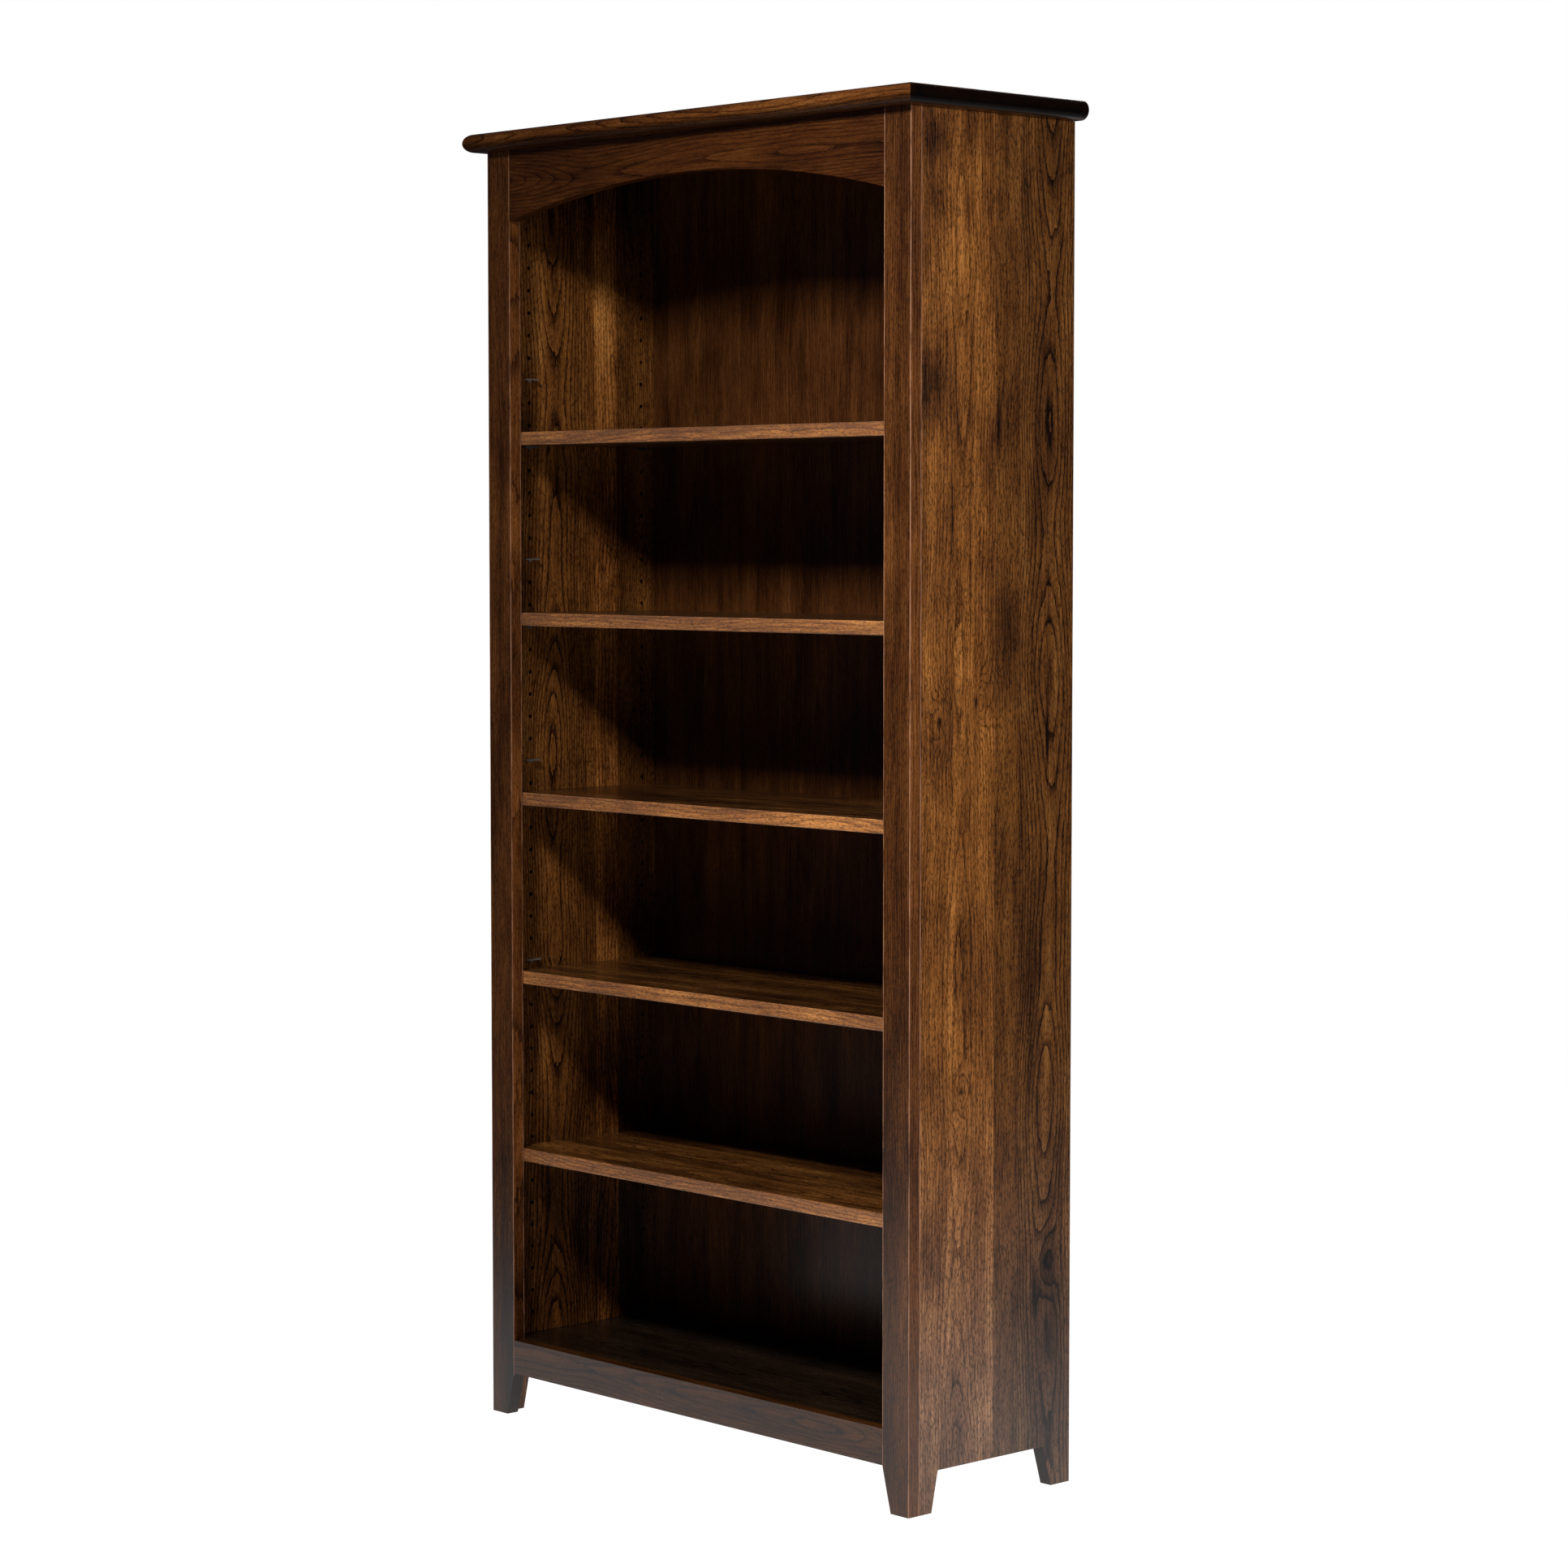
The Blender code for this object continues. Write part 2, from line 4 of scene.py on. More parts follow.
import bmesh
import bpy
import numpy as np
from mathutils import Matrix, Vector


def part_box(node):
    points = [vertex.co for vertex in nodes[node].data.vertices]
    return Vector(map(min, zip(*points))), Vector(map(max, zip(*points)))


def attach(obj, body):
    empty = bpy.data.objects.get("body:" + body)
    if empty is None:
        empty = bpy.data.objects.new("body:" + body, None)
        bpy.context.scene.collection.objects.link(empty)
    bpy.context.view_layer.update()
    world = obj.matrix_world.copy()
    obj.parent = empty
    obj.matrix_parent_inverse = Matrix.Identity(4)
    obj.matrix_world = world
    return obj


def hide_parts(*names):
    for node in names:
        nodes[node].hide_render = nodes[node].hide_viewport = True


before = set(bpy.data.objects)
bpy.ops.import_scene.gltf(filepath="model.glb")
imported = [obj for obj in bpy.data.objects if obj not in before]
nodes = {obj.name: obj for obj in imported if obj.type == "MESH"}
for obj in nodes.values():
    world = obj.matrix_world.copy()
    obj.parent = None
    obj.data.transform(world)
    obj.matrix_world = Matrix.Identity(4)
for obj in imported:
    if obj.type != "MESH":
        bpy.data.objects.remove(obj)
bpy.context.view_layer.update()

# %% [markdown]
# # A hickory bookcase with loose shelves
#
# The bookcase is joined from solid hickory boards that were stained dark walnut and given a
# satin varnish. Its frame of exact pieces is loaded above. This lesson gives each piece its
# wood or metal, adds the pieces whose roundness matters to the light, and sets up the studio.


# %% [markdown]
# ## How a material is written here
#
# A material in Blender is a network of small nodes. Wiring them by hand in code is long, so a
# small helper class makes each node, sets it and joins it in one call. Each call returns the
# socket that carries the result, so a pattern reads like a formula.

# %% A helper that writes a material as formulas
# A Mix node's colour sockets share their names with its other sockets, so they go by number.
MIX_FIRST, MIX_SECOND, MIX_RESULT = 6, 7, 2
WHITE = (1.0, 1.0, 1.0)


class Recipe:
    """One material, whose methods each add a node and hand back its result."""

    def __init__(self, name):
        self.material = bpy.data.materials.new(name)
        self.material.use_nodes = True
        self.tree = self.material.node_tree
        self.shader = self.tree.nodes["Principled BSDF"]
        place = self.add("ShaderNodeTexCoord")
        self.position = place.outputs["Object"]
        self.normal = place.outputs["Normal"]

    def add(self, kind, **settings):
        made = self.tree.nodes.new(kind)
        for key, value in settings.items():
            setattr(made, key, value)
        return made

    def feed(self, socket, value):
        if isinstance(value, bpy.types.NodeSocket):
            self.tree.links.new(value, socket)
        elif isinstance(value, tuple) and len(value) == 3 and len(socket.default_value) == 4:
            socket.default_value = (*value, 1.0)
        else:
            socket.default_value = value

    def math(self, operation, *values):
        made = self.add("ShaderNodeMath", operation=operation)
        for socket, value in zip(made.inputs, values):
            self.feed(socket, value)
        return made.outputs[0]

    def plus(self, a, b):
        return self.math("ADD", a, b)

    def minus(self, a, b):
        return self.math("SUBTRACT", a, b)

    def times(self, a, b):
        return self.math("MULTIPLY", a, b)

    def times_plus(self, a, b, c):
        """a times b, plus c."""
        return self.math("MULTIPLY_ADD", a, b, c)

    def blend(self, share, a, b):
        """a where share is 0, b where it is 1."""
        made = self.add("ShaderNodeMix", data_type="RGBA")
        self.feed(made.inputs["Factor"], share)
        self.feed(made.inputs[MIX_FIRST], a)
        self.feed(made.inputs[MIX_SECOND], b)
        return made.outputs[MIX_RESULT]

    def rise(self, value, start, end, low=0.0, high=1.0):
        """Goes smoothly from low to high as value goes from start to end."""
        made = self.add("ShaderNodeMapRange", interpolation_type="SMOOTHSTEP")
        for name, given in (("Value", value), ("From Min", start), ("From Max", end),
                            ("To Min", low), ("To Max", high)):
            self.feed(made.inputs[name], given)
        return made.outputs[0]

    def point(self, x, y, z):
        made = self.add("ShaderNodeCombineXYZ")
        for socket, value in zip(made.inputs, (x, y, z)):
            self.feed(socket, value)
        return made.outputs[0]

    def parts(self, vector):
        made = self.add("ShaderNodeSeparateXYZ")
        self.feed(made.inputs[0], vector)
        return list(made.outputs)

    def clouds(self, x, y, z, detail=2.0, roughness=0.5):
        """Soft random values from 0 to 1, one lump for each whole step of x, y and z."""
        made = self.add("ShaderNodeTexNoise")
        self.feed(made.inputs["Vector"], self.point(x, y, z))
        self.feed(made.inputs["Scale"], 1.0)
        self.feed(made.inputs["Detail"], detail)
        self.feed(made.inputs["Roughness"], roughness)
        return made.outputs[0]

    def steps(self, value, edges):
        """The level of the last edge that value has passed. edges is [(from, level), ...]."""
        total = edges[0][1]
        for (_, before), (edge, level) in zip(edges, edges[1:]):
            passed = self.math("GREATER_THAN", value, edge)
            total = self.times_plus(passed, level - before, total)
        return total

    def colours(self, value, stops):
        """A colour for each value, from [(value, (red, green, blue)), ...]."""
        made = self.add("ShaderNodeValToRGB")
        ramp = made.color_ramp
        while len(ramp.elements) < len(stops):
            ramp.elements.new(0.5)
        for element, (place, colour) in zip(ramp.elements, stops):
            element.position = place
            element.color = (*colour, 1.0)
        self.feed(made.inputs[0], value)
        return made.outputs[0]

    def relief(self, height, depth):
        """Lets the light see small hills of that height, depth metres tall."""
        made = self.add("ShaderNodeBump")
        self.feed(made.inputs["Height"], height)
        made.inputs["Distance"].default_value = depth
        made.inputs["Strength"].default_value = 1.0
        self.feed(self.shader.inputs["Normal"], made.outputs[0])


# %% [markdown]
# ## Stained hickory
#
# Hickory is a ring-porous wood: each year starts with a band of open pores, which soak up the
# dark stain, and ends with dense wood that stays lighter. A board sawn near the outside of the
# log shows these rings as long arches, called cathedrals, and a knot bends them round itself.
#
# A picture of wood could be stretched over each board, but then the edges and ends would not
# agree with the faces. So the wood here is solid: a ring is a distance from the tree's heart,
# which wanders along the board, and the same formula colours face, edge and end alike. Wide
# boards are glued up from staves, and each stave gets its own tone and its own tree.
#
# The first thing that a point of the wood must know is where it lies in its board, stave and
# tree.

# %% Where a point lies in its board
AXES = {"x": 0, "y": 1, "z": 2}
NEXT_TREE = 5.37
GRAIN_WANDER = 0.036


class Board(Recipe):
    """The wood of one piece. Every value that it keeps has one value for each point.

    length runs along the grain, width across it, and depth through the board from its middle.
    grain_width is the width as the grain sees it, which wanders along the board.
    staves is [(where the stave starts, its tone, where its heart lies, how dark its rings are),
    ...], in the order of their width.
    """

    def __init__(self, piece, along, across, staves, seed):
        super().__init__(piece + "_hickory")
        through = ({"x", "y", "z"} - {along, across}).pop()
        low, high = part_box(piece)
        middle = (low + high) / 2
        self.half_thickness = (high - low)[AXES[through]] / 2
        place = self.parts(self.position)
        self.height = place[AXES["z"]]
        self.length, self.width = (place[AXES[axis]] for axis in (along, across))
        self.depth = self.minus(place[AXES[through]], middle[AXES[through]])

        facing = self.parts(self.normal)
        self.faces_up = facing[AXES["z"]]
        self.squareness = [self.math("ABSOLUTE", part) for part in facing]
        self.end_grain = self.rise(self.squareness[AXES[along]], 0.20, 0.70)
        self.faces_across = self.squareness[AXES[across]]

        starts, *stave_values = zip(*staves)
        number, self.tone, self.heart, self.ring_depth = (
            self.steps(self.width, list(zip(starts, values)))
            for values in (range(len(staves)), *stave_values))
        self.own_tree = self.times_plus(number, NEXT_TREE, seed)
        self.tree_length = self.plus(self.length, self.own_tree)
        slow = self.clouds(self.times(self.width, 5.0), self.own_tree,
                           self.times(self.tree_length, 2.2))
        self.grain_width = self.plus(self.width, self.sway(slow, GRAIN_WANDER))

    def sway(self, cloud, size):
        """A cloud that runs from minus half the size to plus half of it."""
        return self.times_plus(cloud, size, -size / 2)

    def figure(self, width, length, lumps, detail=2.0, roughness=0.5):
        """Clouds with so many lumps to the metre across, through and along the grain."""
        across, through, along = lumps
        return self.clouds(self.times(width, across), self.times(self.depth, through),
                           self.times(length, along), detail, roughness)

    def hill(self, width, at_width, at_length, reach_width, reach_length, fall=1.0):
        """A smooth round hill, 1 at its middle: e to the power of minus the distance squared."""
        off_width = self.math("DIVIDE", self.minus(width, at_width), reach_width)
        off_length = self.math("DIVIDE", self.minus(self.length, at_length), reach_length)
        away = self.times_plus(off_width, off_width, self.times(off_length, off_length))
        return self.math("EXPONENT", self.times(away, -fall))

    def less(self, share, strength):
        """1 where share is 0, and less by the strength where it is 1."""
        return self.times_plus(share, -strength, 1.0)


# %% [markdown]
# ### Year rings and knots
#
# Sawing a log lengthwise cuts its rings where the board's face meets them. Rather than drawing
# arches, the formula below measures how far each point is from the heart. Where the heart comes
# near the face, the arches appear by themselves. A knot pushes the rings aside.

# %% Year rings and knots
RING_PITCH = 0.0040
RING_FLUTTER = 0.0020
HEART_SWING, HEART_START = 0.085, -0.016
PORE_BAND_SHARPNESS = 5.0


def year_rings(wood, knots):
    """How open the year's pores are at each point, and how near it is to the core of a knot.

    A ring's number is the distance from the heart of the tree, divided by the ring pitch. The
    heart wanders through the board and up to seven centimetres behind it. A knot adds a smooth
    hill to the ring's number, so the rings run round it. The pores are open where a year starts
    and close soon after: 1 minus the part of the year that has passed, to the fifth power.
    knots is [(width, length, size, number of rings that it pushes aside), ...].
    """
    wandering = wood.clouds(wood.own_tree, 3.1, wood.times(wood.tree_length, 2.0), 1.0)
    beside = wood.minus(wood.grain_width, wood.heart)
    behind = wood.plus(wood.times_plus(wandering, HEART_SWING, HEART_START), wood.depth)
    distance = wood.math("SQRT", wood.times_plus(beside, beside, wood.times(behind, behind)))
    quick = wood.figure(wood.width, wood.tree_length, (150.0, 150.0, 24.0), roughness=0.6)
    fluttering = wood.plus(distance, wood.sway(quick, RING_FLUTTER))
    ring = wood.math("DIVIDE", fluttering, RING_PITCH)
    core = 0.0
    for at_width, at_length, size, pushed in knots:
        swell = wood.hill(wood.width, at_width, at_length, size * 2.4, size * 6.0)
        ring = wood.times_plus(swell, pushed, ring)
        middle = wood.hill(wood.grain_width, at_width, at_length, size * 0.7, size * 1.5, 1.6)
        core = wood.plus(core, middle)
    year = wood.math("FRACT", ring)
    open_pores = wood.math("POWER", wood.minus(1.0, year), PORE_BAND_SHARPNESS)
    return open_pores, core


print(round(1 / RING_PITCH), "year rings to the metre")

# %% [markdown]
# ### The stain
#
# Stain colours wood by how much each place drinks: pores most, dense late wood least. So one
# level is worked out first, from rings, fibre, streaks and blotches, and a short row of walnut
# tones turns that level into a colour. Painting each pattern in its own colour would be more
# direct, but the tones would not stay in one family.

# %% The stain
WALNUT = [(0.0, (0.0130, 0.0040, 0.0013)), (0.35, (0.085, 0.0280, 0.0062)),
          (0.65, (0.200, 0.0720, 0.0150)), (1.0, (0.400, 0.1650, 0.0380))]
MIDDLE_LEVEL = 0.5
USUAL_PORES = 0.14
RING_WEIGHT, FIBRE_WEIGHT, STREAK_WEIGHT, BLOTCH_WEIGHT = 0.50, 1.10, 0.60, 0.80
FACE_REACH = 0.004


def stain(wood, open_pores, fibre, blotch, contrast, stain_and_shade_spots, spotted_face):
    """The colour of the stained wood, before pores, edges and rubbing.

    The level starts in the middle. Each pattern moves it by its weight, and a spot takes it
    down by its strength times a smooth hill. On the inside face of the left side the spots are
    painted shade and painted light, and on the right side they are places that drank more or
    less stain.
    stain_and_shade_spots is [(width, length, reach across, reach along, strength), ...].
    """
    streak = wood.figure(wood.grain_width, wood.tree_length, (62.0, 40.0, 1.6))
    ring_line = wood.times(wood.minus(USUAL_PORES, open_pores), wood.ring_depth)
    level = wood.times_plus(ring_line, RING_WEIGHT, MIDDLE_LEVEL)
    for pattern, weight in ((fibre, FIBRE_WEIGHT), (streak, STREAK_WEIGHT),
                            (blotch, BLOTCH_WEIGHT)):
        level = wood.times_plus(wood.minus(pattern, 0.5), weight * contrast, level)
    for at_width, at_length, reach_width, reach_length, strength in stain_and_shade_spots:
        spot = wood.hill(wood.width, at_width, at_length, reach_width, reach_length)
        if spotted_face:
            towards_face = wood.times(wood.depth, spotted_face)
            spot = wood.times(spot, wood.rise(towards_face, -FACE_REACH, FACE_REACH))
        level = wood.times_plus(spot, -strength, level)
    return wood.colours(level, WALNUT)


print("the stain has", len(WALNUT), "walnut tones")

# %% [markdown]
# ### Dark ends, painted shade and rubbed, highlit corners
#
# End grain drinks far more stain than a face. Corners lose theirs again when the varnish is
# rubbed down between coats, so a corner shows as a broken pale line, which is also a painted
# highlight where the corner catches the light. Long edges are painted lighter on the shelves and
# the uprights, as a painted highlight, and darker on the sides, as painted shade, and the top's
# nose is painted darker where it faces down, as painted shade. All of this follows from the
# direction in which the surface faces and from the distance to a corner, so no edge has to be
# marked by hand.

# %% Dark ends, painted shade and rubbed, highlit corners
PORE_DARKNESS, KNOT_DARKNESS = 0.62, 0.93
SQUARE_ON = (0.5, 0.8)
ARRIS_REACH, ARRIS_CORE = 0.0014, 0.0005


def darkness(wood, pore, core, edge, end, painted_underside_shade, pored):
    """What the stain's colour is multiplied by: one factor each for pores, knots and so on."""
    # The long-edge factor paints a highlight on long edges where it is above 1, and shade where
    # it is below 1.
    factors = [wood.less(pore, PORE_DARKNESS * pored),
               wood.less(wood.math("MINIMUM", core, 1.0), KNOT_DARKNESS),
               wood.tone,
               wood.less(wood.end_grain, end),
               wood.rise(wood.faces_across, *SQUARE_ON, 1.0, edge)]
    # Painted shade: wood that faces down is painted darker.
    if painted_underside_shade:
        factors.append(wood.less(wood.rise(wood.faces_up, 0.15, -0.45), painted_underside_shade))
    return functools.reduce(wood.times, factors)


def rubbed_and_highlit_places(wood, fibre, blotch, arrises, rub_and_highlight, painted_edge_highlight):
    """How far the stain is rubbed off.

    A rounded edge is where the surface faces no axis squarely. An arris is a sharp corner along
    the grain, given by its width, and is rubbed where the fibre stands up. The pale of both is
    partly worn stain and partly a painted highlight, where the corner catches the light.
    """
    squarest = functools.reduce(lambda a, b: wood.math("MAXIMUM", a, b), wood.squareness)
    patchy = wood.times_plus(blotch, 0.8 * rub_and_highlight, -0.1)
    rubbed = wood.times(wood.rise(squarest, 0.90, 0.72), patchy)
    rubbed = wood.times(rubbed, wood.minus(1.0, wood.end_grain))
    # Painted highlight: the long edges are painted pale.
    if painted_edge_highlight:
        edge_highlight_share = wood.rise(wood.faces_across, *SQUARE_ON, 0.0, painted_edge_highlight)
        rubbed = wood.math("MAXIMUM", rubbed, edge_highlight_share)
    face = wood.half_thickness
    for arris in arrises:
        at_face = wood.rise(wood.math("ABSOLUTE", wood.depth), face - ARRIS_REACH,
                            face - ARRIS_CORE)
        off = wood.math("ABSOLUTE", wood.minus(wood.width, arris))
        broken = wood.rise(fibre, 0.40, 0.55, 0.15, 0.65)
        pale = wood.times(wood.rise(off, ARRIS_REACH, ARRIS_CORE), broken)
        rubbed = wood.math("MAXIMUM", rubbed, wood.times(pale, at_face))
    return rubbed


# %% [markdown]
# ### Varnished wood
#
# The parts come together: rings, stain, dark places and rubbed corners give the colour, with
# painted shade, painted highlights and a painted reflection of the floor among them. Satin
# varnish lies over them, a little rougher where the fibre is, and sinks into the pores.

# %% Varnished wood
# The pale tan of corners where the stain is worn off, which also serves as a painted highlight
# where a corner catches the light.
RUBBED_AND_HIGHLIT = (0.34, 0.17, 0.10)
SATIN = 0.20
VARNISH_IOR = 1.46
# Heights where the painted reflection of the floor begins and is strongest: towards the floor the
# wood is painted greyer.
FLOOR_REFLECTION_FROM, FLOOR_REFLECTION_FULL = 0.62, 0.05
PORE_DEPTH = 0.00003


def hickory(piece, along, across, staves, seed=0.0, tint=WHITE, contrast=1.0, knots=(),
            stain_and_shade_spots=(), spotted_face=0, arrises=(), edge=1.0, end=0.86, painted_underside_shade=0.0, pored=1.0,
            rub_and_highlight=1.0, painted_edge_highlight=0.0, painted_floor_reflection=0.0, sheen=0.40):
    """Varnished wood for one piece, with its grain along one axis.

    spotted_face is 1 or -1 where only the face on that side has the spots.
    edge is how much lighter the long edges are painted than the faces: a painted highlight
    above 1 and painted shade below 1. end is how much darker the ends are,
    painted_underside_shade how much painted shade darkens the wood where it faces down, and
    pored how dark its pores are. rub_and_highlight is how far rounded edges turn pale, partly
    worn and partly a painted highlight, and painted_edge_highlight how far the long edges are
    painted pale, as a painted highlight. painted_floor_reflection is how far the wood is painted
    grey near the floor, a painted reflection of the floor, and sheen how much the varnish
    mirrors.
    """
    wood = Board(piece, along, across, staves, seed)
    open_pores, core = year_rings(wood, knots)
    cells = wood.figure(wood.grain_width, wood.length, (800.0, 800.0, 170.0), 1.0)
    fibre = wood.figure(wood.grain_width, wood.tree_length, (330.0, 330.0, 18.0), 4.0, 0.75)
    blotch = wood.figure(wood.width, wood.tree_length, (20.0, 20.0, 6.0), 3.0)
    pore = wood.rise(wood.times_plus(open_pores, 0.10, cells), 0.51, 0.62)

    toned = wood.add("ShaderNodeVectorMath", operation="SCALE")
    wood.feed(toned.inputs[0], stain(wood, open_pores, fibre, blotch, contrast, stain_and_shade_spots,
                                     spotted_face))
    wood.feed(toned.inputs["Scale"], darkness(wood, pore, core, edge, end, painted_underside_shade, pored))
    tinted = wood.add("ShaderNodeVectorMath", operation="MULTIPLY")
    wood.feed(tinted.inputs[0], toned.outputs[0])
    tinted.inputs[1].default_value = tint
    colour = tinted.outputs[0]
    # Painted reflection: near the floor the colour is painted greyer, in place of the pale floor
    # mirrored by the varnish.
    if painted_floor_reflection:
        channels = wood.add("ShaderNodeSeparateColor")
        wood.feed(channels.inputs[0], colour)
        grey = wood.times(channels.outputs["Red"], 0.5)
        share = wood.rise(wood.height, FLOOR_REFLECTION_FROM, FLOOR_REFLECTION_FULL, 0.0, painted_floor_reflection)
        colour = wood.blend(share, colour, wood.point(grey, grey, grey))
    rubbed = rubbed_and_highlit_places(wood, fibre, blotch, arrises, rub_and_highlight, painted_edge_highlight)
    wood.feed(wood.shader.inputs["Base Color"], wood.blend(rubbed, colour, RUBBED_AND_HIGHLIT))

    wood.feed(wood.shader.inputs["Roughness"], wood.times_plus(fibre, 0.10, SATIN))
    wood.shader.inputs["IOR"].default_value = VARNISH_IOR
    wood.shader.inputs["Specular IOR Level"].default_value = sheen
    wood.relief(wood.minus(wood.times(fibre, 0.30), pore), PORE_DEPTH)
    return wood.material


def dress(names, material):
    """Gives the named exact pieces that material and no other."""
    for name in names:
        slots = nodes[name].data.materials
        slots.clear()
        slots.append(material)
        nodes[name].color = (*WHITE, 1)
    print("pieces in " + material.name + ":", len(names))


# %% [markdown]
# ## The side panels
#
# Each side is glued up from staves of different trees, three on the right and four on the left,
# so its tone changes in steps. The front stave of the right side is pale, and the back one has
# bold arches. Knots and places that drank more stain are set where they lie on this panel. On
# the left side only the inside face has spots: painted shade in bands below the top and the
# shelves, and a few patches of painted light. The panels' narrow edges are painted darker, as
# painted shade, and the right side is painted greyer near the floor, as a painted reflection of
# the floor.
#
# Random knots would be less work, but the eye finds a knot at once, so they are listed one by
# one.

# %% The side panels
FRONT_CORNER = -0.118
# The side panels' narrow edges are painted darker, as painted shade.
PAINTED_EDGE_SHADE = 0.3
RIGHT_STAVES = [(-0.2, 1.12, -0.045, 0.55), (0.017, 0.66, 0.0, 0.2), (0.0625, 0.56, 0.118, 1.3)]
RIGHT_KNOTS = [(-0.081, 1.024, 0.006, 5.0), (-0.014, 1.048, 0.007, 7.0),
               (-0.042, 0.544, 0.004, 3.5), (0.119, 0.301, 0.008, 3.0)]
RIGHT_SMUDGES = [(-0.092, 1.76, 0.022, 0.032, 0.5), (-0.088, 1.69, 0.020, 0.034, 0.36),
                 (-0.105, 1.46, 0.026, 0.045, 0.42), (0.04, 1.14, 0.025, 0.05, 0.3),
                 (0.115, 1.0, 0.003, 0.045, 0.9), (-0.05, 1.64, 0.05, 0.10, -0.12),
                 (-0.104, 0.33, 0.020, 0.055, 0.34), (0.117, 0.295, 0.014, 0.05, 0.40),
                 (-0.03, 0.25, 0.06, 0.20, -0.17), (0.11, 0.10, 0.07, 0.12, 0.05),
                 (0.11, 1.68, 0.04, 0.13, -0.06), (0.094, 0.262, 0.004, 0.030, 0.55),
                 (0.022, 1.405, 0.0035, 0.035, 0.6)]
# The right side is painted greyer near the floor, as a painted reflection of the floor.
dress(["right_side_panel"], hickory(
    "right_side_panel", "z", "y", RIGHT_STAVES, seed=1.3, knots=RIGHT_KNOTS,
    stain_and_shade_spots=RIGHT_SMUDGES, arrises=[FRONT_CORNER], edge=PAINTED_EDGE_SHADE, painted_floor_reflection=0.32))

LEFT_STAVES = [(-0.2, 1.05, -0.035, 1.2), (0.027, 1.5, 0.10, 0.8), (0.043, 2.0, 0.10, 0.8),
               (0.085, 1.0, 0.02, 0.8)]
# On the inside face of the left side these spots are painted shade in bands below the top and
# each shelf, and the negative ones are patches of painted light.
LEFT_PAINTED_SHADE_AND_LIGHT = [(0.0, 1.25, 0.3, 0.11, 0.17), (0.0, 0.22, 0.3, 0.15, 0.42),
                (0.08, 0.50, 0.09, 0.12, 0.22), (0.0, 0.48, 0.3, 0.10, 0.06),
                (0.0, 1.58, 0.3, 0.10, -0.10), (0.0, 1.0, 0.3, 0.08, 0.05),
                (0.0, 1.80, 0.3, 0.11, 0.50), (0.062, 1.54, 0.018, 0.14, -0.22)]
dress(["left_side_panel"], hickory(
    "left_side_panel", "z", "y", LEFT_STAVES, seed=7.9, stain_and_shade_spots=LEFT_PAINTED_SHADE_AND_LIGHT, spotted_face=1,
    arrises=[FRONT_CORNER], edge=PAINTED_EDGE_SHADE))

# %% [markdown]
# ## The face frame
#
# Two uprights and two rails cover the front edges of the case. Their grain runs along each
# piece, so it turns a corner at every joint. They were stained darker and redder than the
# sides, and where the frame was sanded flush the stain is rubbed off the corners, which leaves
# a pale hairline along each joint; the hairline is also a painted highlight, where the corner
# catches the light. The uprights' narrow sides are painted lighter than their fronts, as a
# painted highlight. The foot of the left upright is coloured darker, most of all at its inner
# edge.

# %% The face frame
FRAME_TINT = (0.26, 0.235, 0.25)
TOP_RAIL_TINT = (0.27, 0.21, 0.175)
outside, opening = (corner.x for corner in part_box("left_stile"))
# The left upright's spots make its foot darker, most of all at its inner edge.
for piece, seed, stain_and_shade_spots in (("right_stile", 3.3, ()),
                             ("left_stile", 5.1, [(-0.4, 0.10, 0.3, 0.26, 0.26),
                                                  (-0.386, 0.03, 0.010, 0.035, 0.5)])):
    dress([piece], hickory(piece, "z", "x", [(-1.0, 1.35, 0.36, 0.6), (0.0, 1.2, 0.45, 0.6)],
                           seed=seed, tint=FRAME_TINT, edge=2.0, pored=0.8, stain_and_shade_spots=stain_and_shade_spots,
                           arrises=[-opening, opening, -outside, outside]))
for piece, seed, tint in (("arched_top_rail", 2.2, TOP_RAIL_TINT),
                          ("bottom_rail", 4.4, FRAME_TINT)):
    dress([piece], hickory(piece, "x", "z", [(-1.0, 0.95, 0.09, 0.8), (1.0, 0.72, 1.76, 0.8)],
                           seed=seed, tint=tint, pored=0.45))

# %% [markdown]
# ## The back, the bottom shelf and the hidden strips
#
# The back is a thin panel in four wide staves, stained nearly as dark as the frame, with a
# streaky, quiet figure. The bottom shelf is coloured darkest of all, and the blue in its tint is
# a painted sheen. The two strips under the top are plain, because they are hidden behind the
# top rail.

# %% The back, the bottom shelf and the strips
dress(["back_panel"], hickory(
    "back_panel", "z", "x", [(-1.0, 1.0, -0.32, 0.3), (-0.22, 1.05, -0.1, 0.3),
                             (0.0, 1.0, 0.14, 0.3), (0.21, 1.1, 0.35, 0.3)],
    seed=8.8, tint=(0.32, 0.29, 0.34), pored=0.5, sheen=0.25))
for piece in ("front_cleat", "back_cleat"):
    dress([piece], hickory(piece, "x", "y", [(-1.0, 0.5, 0.0, 0.7)], seed=15.0))
# The bottom shelf is coloured darkest, and the blue in its tint is a painted sheen.
dress(["bottom_shelf"], hickory(
    "bottom_shelf", "x", "y", [(-1.0, 0.09, -0.05, 0.8), (0.02, 0.11, 0.1, 0.8)],
    seed=21.0, tint=(0.80, 1.25, 3.0)))

# %% [markdown]
# ## Pieces whose roundness catches the light
#
# The exact model eases each shelf's edges with flat facets and rounds the top's nose in a few
# steps, which is enough to weigh and to touch. Light is harder to please: a thin bright line
# runs along a sanded edge only if the surface really turns there. So the top and the loose
# shelves are made again as smooth surfaces of the same size, and stand in for the exact ones.
#
# They could be boxes with a Bevel modifier. A formula is used instead, because it also gives
# each point's exact direction, and that keeps the large flat faces free of false shading.


